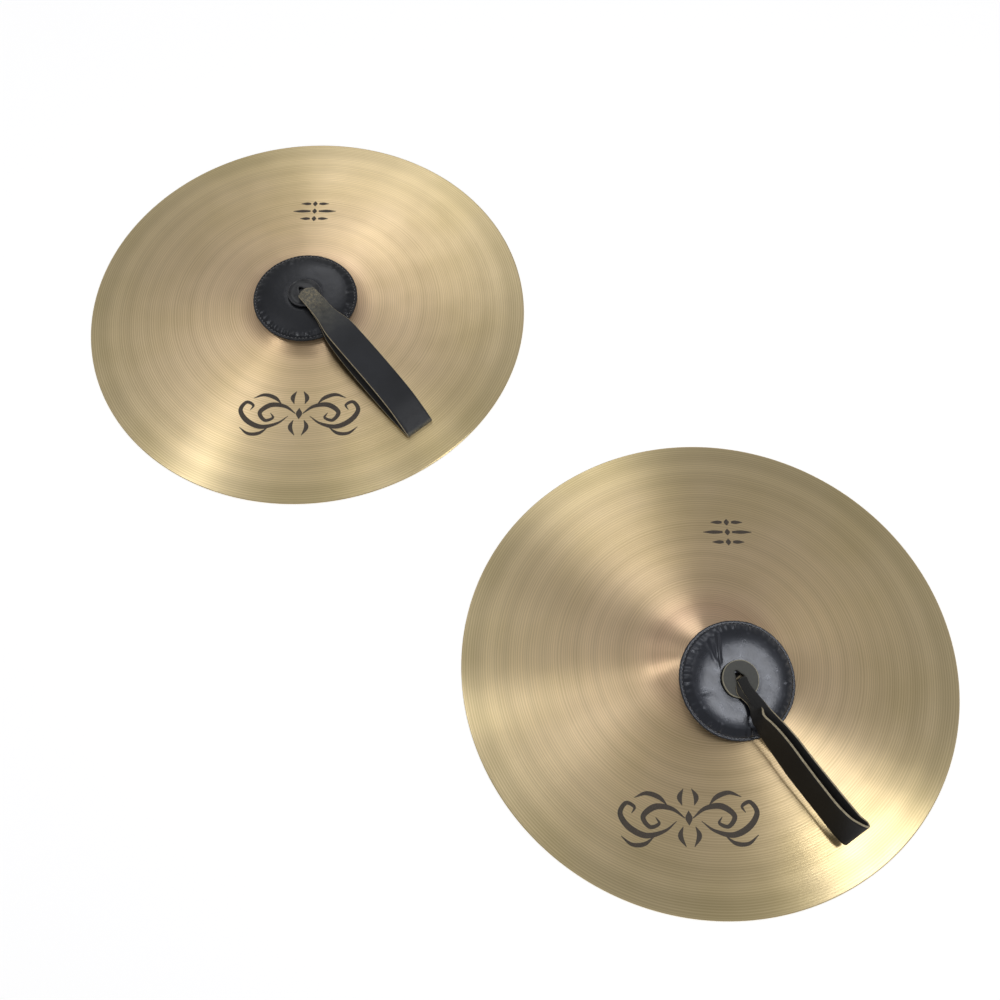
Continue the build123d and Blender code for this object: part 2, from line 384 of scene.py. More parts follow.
def pad_material(name, base, roughness, wear, shine, coat, coat_roughness):
    """Thin glossy black leather with a fine grain and soft creases."""
    s = Shader(name)
    grain = s.voronoi(2600)
    creases = s.noise(90, 5, 0.6)
    soft = s.noise(28, 3)
    height = s.math("ADD", s.math("MULTIPLY", grain, 0.1), creases)
    normal = s.bump(height, 0.5, 0.0004)
    colour = s.mix(s.range(soft, 0.35, 0.7), base, tuple(min(1, c * wear) for c in base))
    uneven = s.range(creases, 0.3, 0.7, roughness, roughness + 0.12)
    s.link(normal, s.main.inputs["Coat Normal"])
    return s.finish(colour, uneven, normal, Specular_IOR_Level=shine, Specular_Tint=(0.78, 0.84, 1, 1),
                    Coat_Weight=coat, Coat_Roughness=coat_roughness)


def strap_material(name, base, shine, worn_and_highlight_colour, bareness):
    """Strap leather; it is worn grey and cracked where the mesh's wear attribute says so, and lighter
    along each strip's far fold, which is a painted highlight.
    """
    s = Shader(name)
    grain = s.voronoi(1500)
    fine = s.noise(700, 4, 0.6)
    soft = s.noise(30, 3)
    height = s.math("ADD", s.math("MULTIPLY", grain, 0.5), s.math("MULTIPLY", fine, 0.6))
    colour = s.mix(s.range(soft, 0.3, 0.75), base, tuple(c * 1.5 for c in base))
    worn = s.node("ShaderNodeAttribute")
    worn.attribute_name = "wear"
    near = worn.outputs["Fac"]
    rubbed = s.math("ADD", s.range(s.noise(110, 6, 0.7), 0.30, 0.70), s.math("MULTIPLY", near, 0.5))
    wear_and_highlight_mask = s.math("MULTIPLY", near, rubbed, clamp=True)
    # Worn colour in rubbed patches near the root, and the same colour along the far fold as a painted
    # highlight.
    colour = s.mix(wear_and_highlight_mask, colour, worn_and_highlight_colour)
    cracks = s.range(s.voronoi(420, feature="DISTANCE_TO_EDGE"), 0.0, 0.09, 1.0, 0.0)
    flaking = s.range(s.noise(330, 6, 0.7), 0.42, 0.66)
    # Bare leather shows mostly at the root; some shows along the far fold too, as part of the painted
    # highlight there.
    bare = s.math("MULTIPLY", s.math("POWER", near, 7.0), flaking, clamp=True)
    bare = s.math("MULTIPLY", bare, s.math("ADD", cracks, 0.5), clamp=True)
    colour = s.mix(s.math("MULTIPLY", bare, bareness), colour, (0.40, 0.33, 0.20))
    roughness = s.range(fine, 0.3, 0.7, 0.36, 0.52)
    return s.finish(colour, roughness, s.bump(height, 0.4, 0.0002), Specular_IOR_Level=shine)


def flesh_material():
    s = Shader("strap_flesh")
    nap = s.noise(900, 5, 0.7)
    colour = s.ramp(nap, [(0.3, (0.010, 0.010, 0.011)), (0.75, (0.030, 0.029, 0.028))])
    return s.finish(colour, 0.9, s.bump(nap, 0.6, 0.0003), Sheen_Weight=0.1)


def raw_edge_material(name, light, dark):
    s = Shader(name)
    layers = s.noise(420, 4, 0.6)
    spots = s.noise(70, 3)
    colour = s.mix(s.range(layers, 0.3, 0.7), dark, light)
    colour = s.mix(s.range(spots, 0.55, 0.75, 0.0, 0.5), colour, tuple(0.45 * c for c in dark))
    return s.finish(colour, 0.82, s.bump(layers, 0.5, 0.0002))


def felt_material():
    s = Shader("felt")
    fibre = s.noise(600, 6, 0.7)
    colour = s.ramp(fibre, [(0.3, (0.30, 0.28, 0.25)), (0.7, (0.52, 0.50, 0.46))])
    return s.finish(colour, 0.95, s.bump(fibre, 0.8, 0.0005), Sheen_Weight=0.3)


def thread_material():
    s = Shader("thread")
    twist = s.noise(2200, 2)
    colour = s.ramp(twist, [(0.35, (0.07, 0.07, 0.075)), (0.7, (0.34, 0.34, 0.35))])
    return s.finish(colour, 0.42, s.bump(twist, 0.5, 0.0002))


def washer_material(name, base, roughness):
    s = Shader(name)
    grain = s.noise(1200, 4, 0.65)
    smears = s.noise(130, 4, 0.6)
    colour = s.mix(s.range(smears, 0.35, 0.7), base, tuple(c * 1.8 for c in base))
    uneven = s.range(smears, 0.3, 0.7, roughness, roughness + 0.18)
    return s.finish(colour, uneven, s.bump(grain, 0.4, 0.0002))


BRONZE = bronze_material()
INK = ink_material()
PAD_TOP = {
    "left": pad_material("pad_leather_left", base=(0.004, 0.0045, 0.006), roughness=0.27, wear=1.6,
                         shine=0.25, coat=0.55, coat_roughness=0.24),
    "right": pad_material("pad_leather_right", base=(0.003, 0.0035, 0.006), roughness=0.25, wear=1.8,
                          shine=0.55, coat=0.5, coat_roughness=0.2),
}
LINING = pad_material("lining_leather", base=(0.030, 0.028, 0.026), roughness=0.7, wear=1.5,
                      shine=0.5, coat=0.0, coat_roughness=0.5)
FELT = felt_material()
THREAD = thread_material()
STRAP = {
    "left": strap_material("strap_leather_left", base=(0.013, 0.0145, 0.019), shine=0.45,
                           worn_and_highlight_colour=(0.105, 0.104, 0.088), bareness=1.0),
    "right": strap_material("strap_leather_right", base=(0.006, 0.0055, 0.0055), shine=0.25,
                            worn_and_highlight_colour=(0.030, 0.028, 0.025), bareness=0.0),
}
FLESH = flesh_material()
RAW_EDGE = raw_edge_material("raw_edge", light=(0.56, 0.49, 0.34), dark=(0.30, 0.25, 0.16))
WASHER = {
    "left": washer_material("washer_black", (0.020, 0.021, 0.024), roughness=0.26),
    "right": washer_material("washer_grey", (0.055, 0.056, 0.050), roughness=0.44),
}
WASHER_EDGE = {
    "left": washer_material("washer_rim_black", (0.030, 0.030, 0.034), roughness=0.24),
    "right": raw_edge_material("washer_raw_edge", light=(0.52, 0.48, 0.36), dark=(0.28, 0.26, 0.19)),
}


# --------------------------------------------------------------------- plates


def plate_top(radius):
    """Height of the plate's upper face: a round bell, a soft hollow at its foot and a shallow bow."""
    foot, rim = (BELL_RADIUS, BOW_RISE), (PLATE_RADIUS, RIM_TOP)
    past_bell, inside_bell = 90 * MM, 30 * MM
    bell = arc_height(min(radius, past_bell), (-BELL_RADIUS, BOW_RISE), foot, BELL_TOP - BOW_RISE)
    bow = arc_height(max(radius, inside_bell), foot, rim, BOW_SAGITTA)
    gap = (bell - bow) / BELL_BASE_SOFTNESS
    if radius < BELL_RADIUS - 3 * BELL_BASE_BLEND or gap > 12:
        return bell
    if radius > BELL_RADIUS + 3 * BELL_BASE_BLEND:
        return bow
    return bow + BELL_BASE_SOFTNESS * math.log(1 + math.exp(gap))


def hammer(x, y, side):
    """Faint dents left by the hammer, which break up the light on the rings."""
    seed = SIDES.index(side) + 1
    spot = Vector((x * 42, y * 42, seed * 3.7))
    broad = Vector((x * 9, y * 9, seed * 9.1))
    return HAMMER_DEPTH * (noise.noise(spot) + 1.6 * noise.noise(broad))


def build_plate(side):
    """Plate of even thickness that thins to a rounded rim, with the hole for the strap."""
    edge = PLATE_RADIUS
    bell_radii = np.linspace(HOLE_RADIUS, BELL_RADIUS + 20 * MM, num=78)
    bow_radii = np.linspace(BELL_RADIUS + 21 * MM, edge - 0.9 * MM, num=128)
    top = [(r, plate_top(r)) for r in (*bell_radii, *bow_radii)]
    rim = [(edge - 0.35 * MM, 1.25 * MM), (edge - 0.06 * MM, 0.98 * MM), (edge, 0.62 * MM),
           (edge - 0.12 * MM, 0.22 * MM), (edge - 0.5 * MM, 0.02 * MM), (edge - 2.0 * MM, 0.0)]
    under_radii = np.linspace(edge - 5 * MM, HOLE_RADIUS, num=84)
    under = [(r, plate_top(r) - PLATE_THICKNESS * smooth(edge, edge - 9 * MM, r)) for r in under_radii]
    under = [(r, max(z, 0.05 * MM)) for r, z in under]
    section = top + rim + under
    points = []
    for radius, height in section:
        inside = smooth(edge - 4 * MM, edge - 14 * MM, radius) * smooth(8 * MM, 16 * MM, radius)
        for k in range(PLATE_SEGMENTS):
            angle = 2 * math.pi * k / PLATE_SEGMENTS
            x, y = radius * math.cos(angle), radius * math.sin(angle)
            points.append((x, y, height + inside * hammer(x, y, side)))
    faces = ring_faces(len(section), PLATE_SEGMENTS)
    plate = closed_object(f"bronze_plate_{side}", points, faces, [BRONZE], location=PLATE_CENTRE[side])
    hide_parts(f"plate_{side}")
    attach(plate, f"plate_{side}")


# ---------------------------------------------------------------------- marks


def ribbon(points, widths, steps=10):
    """Outline of a brush stroke: a curve through the points whose width swells and thins."""
    rows = spline([(x, y, w) for (x, y), w in zip(points, widths)], steps)
    left, right = [], []
    for i, (x, y, w) in enumerate(rows):
        before, after = rows[max(i - 1, 0)], rows[min(i + 1, len(rows) - 1)]
        dx, dy = after[0] - before[0], after[1] - before[1]
        size = math.hypot(dx, dy) or 1
        nx, ny = -dy / size, dx / size
        left.append((x + nx * w / 2, y + ny * w / 2))
        right.append((x - nx * w / 2, y - ny * w / 2))
    return left, right


def scroll_strokes():
    """A mirrored scroll of leaves about a lozenge: an ornament with no letters in it."""
    half = [
        ([(4, 0), (16, 9), (32, 11), (44, 2), (38, -8), (29, -5), (32, 1)], [1, 4, 6, 5, 4, 3, 0.6]),
        ([(12, -3), (24, -12), (42, -16), (58, -8), (66, 5), (60, 15), (52, 11), (55, 5)],
         [0.6, 3, 5.5, 6, 5, 4, 3, 0.6]),
        ([(20, 12), (28, 20), (40, 24), (52, 20)], [0.6, 4.5, 4, 0.6]),
        ([(34, -17), (44, -24), (56, -24), (66, -16)], [0.6, 4, 3.5, 0.6]),
        ([(6, 12), (8, 20), (4, 28)], [0.6, 5, 0.6]),
        ([(6, -8), (9, -17), (4, -27)], [0.6, 5, 0.6]),
    ]
    mirrored = [([(-x, y) for x, y in points], widths) for points, widths in half]
    lozenge = [([(0, -7), (0, 0), (0, 7)], [0.4, 7, 0.4])]
    return half + mirrored + lozenge


def rule_strokes():
    """Three rules with lozenges between them."""
    strokes = []
    for row, reach in ((12, 17), (0, 26), (-12, 17)):
        for hand in (-1, 1):
            route = [(hand * 5, row), (hand * reach * 0.6, row), (hand * reach, row)]
            strokes.append((route, [2.6, 4.2, 0.6]))
        strokes.append(([(0, row - 4), (0, row), (0, row + 4)], [0.5, 5.6, 0.5]))
    return strokes


def build_mark(name, side, strokes, turn, distance, upright_turn):
    """Thin inked ornament that hugs the plate at a distance from its axis, at a turn about it."""
    lift, sink = 0.07 * MM, 0.15 * MM
    middle = Vector((math.cos(turn), math.sin(turn), 0)) * distance
    up = Vector((math.cos(upright_turn), math.sin(upright_turn), 0))
    across = up.cross(UP)
    points, faces = [], []

    def put(x, y, raise_by):
        place = middle + across * (x * MM) + up * (y * MM)
        surface = plate_top(math.hypot(place.x, place.y)) + hammer(place.x, place.y, side)
        points.append((place.x, place.y, surface + raise_by))

    for route, widths in strokes:
        left, right = ribbon(route, widths)
        start = len(points)
        for (lx, ly), (rx, ry) in zip(left, right):
            put(lx, ly, lift)
            put(rx, ry, lift)
            put(rx, ry, -sink)
            put(lx, ly, -sink)
        for i in range(len(left) - 1):
            a, b = start + 4 * i, start + 4 * (i + 1)
            for k in range(4):
                faces.append((a + k, a + (k + 1) % 4, b + (k + 1) % 4, b + k))
        last = start + 4 * (len(left) - 1)
        faces.append((start + 3, start + 2, start + 1, start))
        faces.append((last, last + 1, last + 2, last + 3))
    mark = closed_object(f"{name}_{side}", points, faces, [INK], location=PLATE_CENTRE[side],
                         smooth_shade=False)
    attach(mark, f"plate_{side}")


# ----------------------------------------------------------------------- pads


class PadFrame:
    """Where a pad is: its foot on the underside, its outward, sideways and upward directions."""

    def __init__(self, side):
        self.side = side
        self.foot = joint_place(f"pad_turn_{side}")
        self.up = joint_axis(f"pad_turn_{side}")
        self.across = -joint_axis("loop_tilt_left") if side == "left" else joint_axis("pad_shift_right")
        self.out = self.across.cross(self.up).normalized()

    def bend(self, x, y):
        """How far the soft pad sags off its flat shape."""
        if self.side == "left":
            return -0.9 * MM * abs(noise.noise(Vector((x * 14, y * 14, 4.2))))
        fall = smooth(10 * MM, 62 * MM, -x)
        return -PAD_SAG * fall * fall + 0.7 * MM * noise.noise(Vector((x * 16, y * 16, 1.2)))

    def place(self, radius, angle, height):
        x, y = radius * math.cos(angle), radius * math.sin(angle)
        return self.foot + self.out * x + self.across * y + self.up * (height + self.bend(x, y))


PADS = {side: PadFrame(side) for side in SIDES}


def pad_under(radius):
    return arc_height(radius, (-PAD_RADIUS, -PAD_DISH), (PAD_RADIUS, -PAD_DISH), PAD_DISH)


def pad_over(radius):
    edge = PAD_EDGE - PAD_DISH
    return arc_height(radius, (-PAD_RADIUS, edge), (PAD_RADIUS, edge), PAD_MIDDLE - edge)


def pucker(side, radius, angle):
    """Gathers that the seam pulls into the leather just inside the edge."""
    seed = 11 if side == "left" else 23
    warped = angle + 0.05 * wave(seed, math.cos(angle) * 1.7 + math.sin(angle) * 2.3, 1.3)
    count = GATHERS[side]
    which = (warped * count / (2 * math.pi)) % count
    cell = math.floor(which)
    ridge = math.sin(math.pi * (which - cell)) ** 1.6
    size = 0.45 + 0.75 * noise.noise(Vector((cell * 1.37, seed * 2.1, 0.5)))
    patch = 0.75 + 0.5 * noise.noise(Vector((math.cos(angle) * 1.2, math.sin(angle) * 1.2, seed)))
    reach = (10 + 5 * noise.noise(Vector((cell * 2.9, seed, 3.3)))) * MM
    inner = smooth(SEAM_RADIUS - reach, SEAM_RADIUS - 2.2 * MM, radius)
    outer = 1 - smooth(SEAM_RADIUS - 1.6 * MM, SEAM_RADIUS, radius)
    return GATHER_DEPTH * max(0.05, size) * max(0.2, patch) * ridge * inner * outer


# Folds of the slid pad: direction in radians, sideways bend, start, end, depth and width in millimetres
FOLDS = (
    (2.92, 11, 20, 56, 0.9, 1.5),
    (3.12, 8, 25, 54, 0.6, 1.7),
    (-1.9, 3, 30, 54, 0.25, 2.6),
)


def crease(side, radius, angle):
    """Folds pressed into the leather of the slid pad, running out from its washer."""
    if side == "left":
        return 0.0
    depth = 0.0
    for turn, bend, start, end, deep, wide in FOLDS:
        off = math.sin(angle - turn) * radius / MM - bend * (48 - radius / MM) / 24
        along = smooth(start * MM, (start + 8) * MM, radius) * smooth(end * MM, (end - 10) * MM, radius)
        if math.cos(angle - turn) > 0:
            hollow = math.exp(-((off / wide) ** 2)) - 0.6 * math.exp(-(((off - 2.3 * wide) / wide) ** 2))
            depth += deep * MM * along * hollow
    return -depth


def cover_height(side, radius, angle):
    """Upper face of the pad: crowned, gathered near the edge, dipped at the seam, rolled at the hem."""
    plump = PLUMPNESS[side] * smooth(58.5 * MM, 48 * MM, radius) * smooth(17 * MM, 47 * MM, radius)
    seam = -0.75 * MM * math.exp(-(((radius - SEAM_RADIUS) / (0.9 * MM)) ** 2))
    washer = -0.35 * MM * smooth(24 * MM, 18 * MM, radius)
    folds = pucker(side, radius, angle) + crease(side, radius, angle)
    return pad_over(radius) + plump + seam + washer + folds


def build_cover(side):
    """Top leather: its upper face out to the hem, round the hem, and back under itself."""
    pad = PADS[side]
    around = 380
    radii = [*np.linspace(PAD_HOLE, 40 * MM, 22), *np.linspace(41.2 * MM, 58.8 * MM, 30)]
    hem = [(59.5, 0.12), (60.0, -0.35), (60.25, -1.0), (60.25, -1.7), (59.9, -2.3), (59.2, -2.6)]
    points = []
    for radius in radii:
        for k in range(around):
            angle = 2 * math.pi * k / around
            points.append(pad.place(radius, angle, cover_height(side, radius, angle)))
    for radius, drop in hem:
        for k in range(around):
            angle = 2 * math.pi * k / around
            ripple = 0.16 * MM * wave(5, angle, 9) + 0.1 * MM * math.sin(STITCHES * angle)
            points.append(pad.place(radius * MM + ripple, angle, pad_over(PAD_RADIUS) + drop * MM))
    inner = [*np.linspace(58.0 * MM, 41 * MM, 8), *np.linspace(38 * MM, PAD_HOLE, 8)]
    for radius in inner:
        low = max(pad_over(radius) - PAD_LEATHER, pad_under(radius) + PAD_LEATHER)
        for k in range(around):
            points.append(pad.place(radius, 2 * math.pi * k / around, low))
    rows = len(radii) + len(hem) + len(inner)
    cover = closed_object(f"leather_cover_{side}", points, ring_faces(rows, around), [PAD_TOP[side]])
    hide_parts(f"pad_cover_{side}")
    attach(cover, f"pad_{side}")


def build_pad_layer(side, name, node, material, bottom, top, outer_radius):
    """A soft ring of the pad, from the pad's hole outward, between two height laws."""
    pad = PADS[side]
    around = 160
    radii = np.linspace(PAD_HOLE, outer_radius, num=16)
    points = []
    for radius in radii:
        for k in range(around):
            points.append(pad.place(radius, 2 * math.pi * k / around, top(radius)))
    for radius in reversed(radii):
        for k in range(around):
            points.append(pad.place(radius, 2 * math.pi * k / around, bottom(radius)))
    layer = closed_object(f"{name}_{side}", points, ring_faces(2 * len(radii), around), [material])
    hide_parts(node)
    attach(layer, f"pad_{side}")


def build_stitches(side):
    """Short stitches of thread that sink into the seam round the pad."""
    pad = PADS[side]
    points, faces = [], []
    rings, around = 7, 8
    for n in range(STITCHES):
        angle = 2 * math.pi * (n + 0.12 * wave(3, n, 0.9)) / STITCHES
        start = len(points)
        for i in range(rings):
            share = i / (rings - 1) * 2 - 1
            here = angle + share * STITCH_LENGTH / 2 / SEAM_RADIUS
            size = THREAD_RADIUS * math.sqrt(max(0.04, 1 - share**4))
            lift = pad_over(SEAM_RADIUS) - THREAD_RADIUS + 0.28 * MM * (1 - share * share)
            for k in range(around):
                spin = 2 * math.pi * k / around
                radius = SEAM_RADIUS + size * math.cos(spin) + 0.1 * MM * share
                points.append(pad.place(radius, here, lift + size * math.sin(spin)))
        for i in range(rings - 1):
            for k in range(around):
                a, b = start + i * around + k, start + i * around + (k + 1) % around
                faces.append((a, b, b + around, a + around))
        last = start + (rings - 1) * around
        faces.append(tuple(start + k for k in reversed(range(around))))
        faces.append(tuple(last + k for k in range(around)))
    thread = closed_object(f"seam_thread_{side}", points, faces, [THREAD])
    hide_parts(f"pad_stitching_{side}")
    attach(thread, f"pad_{side}")


def washer_warp(side, angle, share):
    """Unevenness of a washer's face, a share of the way from hole to rim; the left one has a lip."""
    warp = 0.25 * MM * noise.noise(Vector((math.cos(angle), math.sin(angle), share)))
    if side == "left":
        warp += 0.7 * MM * math.exp(-(((share - 0.93) / 0.05) ** 2))
        if 0.1 < share < 0.85:
            warp -= 0.5 * MM
    return warp


def build_washer(side):
    """Leather disc with a pear-shaped hole, which points away from where the strap goes."""
    pad = PADS[side]
    around = 144
    base = PAD_MIDDLE + WASHER_GAP
    high = base + WASHER_THICKNESS
    point_turn = math.pi
    if side == "right":
        heading = -joint_axis("loop_tilt_right").cross(UP)
        point_turn = math.pi + math.atan2(heading.dot(pad.across), heading.dot(pad.out))
    steps = [(1.0, high - 0.9 * MM), (1.0, high - 0.3 * MM), (0.985, high), (0.94, high + 0.10 * MM),
             (0.9, high), (0.8, high - 0.05 * MM), (0.55, high), (0.25, high + 0.05 * MM), (0.06, high),
             (0.0, high - 0.3 * MM), (0.0, base + 0.2 * MM), (0.05, base), (0.5, base), (0.95, base),
             (1.0, base + 0.3 * MM)]
    points = []
    for share, height in steps:
        for k in range(around):
            angle = 2 * math.pi * k / around
            off = math.atan2(math.sin(angle - point_turn), math.cos(angle - point_turn))
            pear = (5.0 + 4.6 * math.exp(-((off / 0.42) ** 2))) * MM
            outer = WASHER_RADIUS + 0.25 * MM * wave(8, angle, 1.6)
            radius = pear + (outer - pear) * share
            warp = washer_warp(side, angle, share) if height > base + MM else 0
            points.append(pad.place(radius, angle, height + warp))
    rim_rows = {0, 1, 2, len(steps) - 1} if side == "right" else {0, 1, 2, 3, len(steps) - 1}
    slots = [int(row in rim_rows) for row in range(len(steps)) for _ in range(around)]
    washer = closed_object(f"leather_washer_{side}", points, ring_faces(len(steps), around),
                           [WASHER[side], WASHER_EDGE[side]], slots)
    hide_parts(f"strap_washer_{side}")
    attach(washer, "strap_left" if side == "left" else "hub_right")


# --------------------------------------------------------------------- straps


def add_wear_and_fold_highlight(mesh, points):
    """Attribute that is 1 at a strip's root, where it is most worn, and 0.9 along its far fold, where it
    paints a highlight on the fold's crest.
    """
    far = max(point.length for point in points)
    values = []
    for point in points:
        root = 1 - smooth(12 * MM, WORN_REACH, point.length)
        # Painted highlight: a lighter band along the far end of the strip, on the crest of its fold.
        fold = 0.9 * smooth(far - 5 * MM, far - 2 * MM, point.length)
        values.append(max(root, fold))
    mesh.attributes.new("wear", "FLOAT", "POINT").data.foreach_set("value", values)


def strip_mesh(name, rows, location, worn_edge):
    """Leather strip along rows of (point, width direction, outer normal, half width, cup).

    Cup curls the edges towards the flesh side. With a worn edge the finish has rubbed off the
    corners of the outer face too.
    """
    outer_slot, flesh_slot, edge_slot = 0, 1, 2
    lanes = [-1, -0.97, -0.8, -0.55, -0.28, 0, 0.28, 0.55, 0.8, 0.97, 1]
    half = LEATHER / 2
    bevel = 0.35 * MM
    profile = []
    for lane in lanes:
        profile.append((lane, half - (bevel if abs(lane) == 1 else 0)))
    for lane in reversed(lanes):
        profile.append((lane, -half + (bevel if abs(lane) == 1 else 0)))
    count = len(profile)
    top = len(lanes) - 1
    cut_lanes = {top, count - 1, 0, top - 1} if worn_edge else {top, count - 1}
    lane_slots = [outer_slot] * top + [flesh_slot] * (count - top)
    for k in cut_lanes:
        lane_slots[k] = edge_slot
    points, faces = [], []
    for place, width, normal, half_width, cup in rows:
        for lane, rise in profile:
            curl = -cup * lane * lane
            points.append(place + width * (lane * half_width) + normal * (rise + curl) - Vector(location))
    for i in range(len(rows) - 1):
        for k in range(count):
            a, b = i * count + k, i * count + (k + 1) % count
            faces.append((a, b, b + count, a + count))
    last = (len(rows) - 1) * count
    faces.append(tuple(reversed(range(count))))
    faces.append(tuple(last + k for k in range(count)))
    slots = lane_slots * (len(rows) - 1) + [edge_slot, edge_slot]
    mesh = mesh_from(name, points, faces, slots)
    face_outward(mesh)
    add_wear_and_fold_highlight(mesh, points)
    return mesh


def strip_rows(controls, steps, basis, origin):
    """Rows for strip_mesh from controls (x, y, z, half width, cup, twist) in a basis about an origin.

    The normal starts against the basis's first column, is carried along the curve without spin,
    and is then turned by the twist.
    """
    curve = spline(controls, steps)
    places = [origin + basis @ Vector(c[:3]) for c in curve]
    rows = []
    normal = (basis @ Vector((-1, 0, 0))).normalized()
    for i, place in enumerate(places):
        ahead, behind = places[min(i + 1, len(places) - 1)], places[max(i - 1, 0)]
        tangent = (ahead - behind).normalized()
        normal = (normal - tangent * normal.dot(tangent)).normalized()
        turned = Matrix.Rotation(curve[i][5], 3, tangent) @ normal
        width = tangent.cross(turned).normalized()
        rows.append((place, width, turned, curve[i][3], curve[i][4]))
    return rows


def scaled(controls):
    """Controls written in millimetres and degrees, as metres and radians."""
    return [(x * MM, y * MM, z * MM, w * MM, c * MM, math.radians(t)) for x, y, z, w, c, t in controls]


def strap_basis(side):
    """Columns: outward along the strap, to its left hand, up."""
    left_hand = -joint_axis(f"loop_tilt_{side}")
    out = left_hand.cross(UP)
    return Matrix((out, left_hand, UP)).transposed()


def add_strip(name, rows, origin, leather, nodes, worn_edge=False):
    """Strip of strap leather that stands for the nodes."""
    mesh = strip_mesh(name, rows, origin, worn_edge)
    strip = new_object(name, mesh, [leather, FLESH, RAW_EDGE], origin)
    if nodes:
        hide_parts(*nodes)
    return strip


def left_loop():
    """Strap that lies on its face: out of the hole, over the washer, arched, folded, and back under.

    Each row is x out, y to the left hand and z up from the bend, half width, cup and twist.
    """
    arch = 12.5

    def low(x):
        return -1.2 - 0.18 * max(0, x - 24)

    upper = [
        (-1.3, 0, -11, 4.7, 0.2, 0),
        (-1.3, 0, -5, 4.9, 0.4, 0),
        (-0.6, 0, -0.8, 7.6, 2.6, 0),
        (2.2, 0, 2.2, 9.6, 2.6, 0),
        (7, 0, 3.0, 10.4, 1.3, 0),
        (14, 0, 2.4, 10.6, 0.6, 0),
        (26, 0, 1.5, 10.8, 0.3, 1),
        (40, 0, low(40) + 3.4, 11.4, 0.2, 1),
        (54, 0, low(54) + 5.6, 14.0, 0.2, 0),
        (68, 0.2, low(68) + 8.0, 16.4, 0.2, -1),
        (95, 0.5, low(95) + 9.6, 17, 0.3, -1),
        (125, 0.6, low(125) + 11.6, 17, 0.3, 0),
        (155, 0.6, low(155) + arch, 17, 0.3, 0),
        (178, 0.4, low(178) + arch - 0.5, 17, 0.2, 0),
        (196, 0.2, low(196) + arch - 4.6, 17, 0.1, 0),
        (208, 0, low(208) + 4.2, 17, 0, 0),
    ]
    fold = [
        (211.6, 0, low(211) + 2.6, 17, 0, 0),
        (212.3, 0, low(212) + 1.2, 17, 0, 0),
        (211.2, 0, low(211) + 0.1, 17, 0, 0),
    ]
    lower = [
        (204, -0.4, low(204) - 0.1, 17, 0, 0),
        (180, -2.0, low(180), 17, 0, 0),
        (150, -3.0, low(150), 17, 0, 0),
        (120, -3.4, low(120), 17, 0, 0),
        (90, -3.0, low(90), 17, 0, 0),
        (68, -2.0, low(68), 16.2, 0.1, 0),
        (54, -1.2, low(54), 13.6, 0.1, 0),
        (40, -0.6, low(40), 11.2, 0.1, 0),
        (26, -0.2, -1.3, 10.4, 0.1, 0),
        (14, 0, -0.6, 9.6, 0.3, 0),
        (6, 0, -0.3, 8.4, 0.6, 0),
        (2.4, 0, -2.0, 6.4, 0.6, 0),
        (1.3, 0, -5, 4.9, 0.2, 0),
        (1.3, 0, -11, 4.7, 0.1, 0),
    ]
    origin = joint_place("loop_tilt_left")
    basis = strap_basis("left")
    rows = strip_rows(scaled(upper + fold + lower), 7, basis, origin)
    loop = add_strip("hand_strap_left", rows, origin, STRAP["left"],
                     ["strap_loop_left", "strap_neck_left"], worn_edge=True)
    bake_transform(loop)


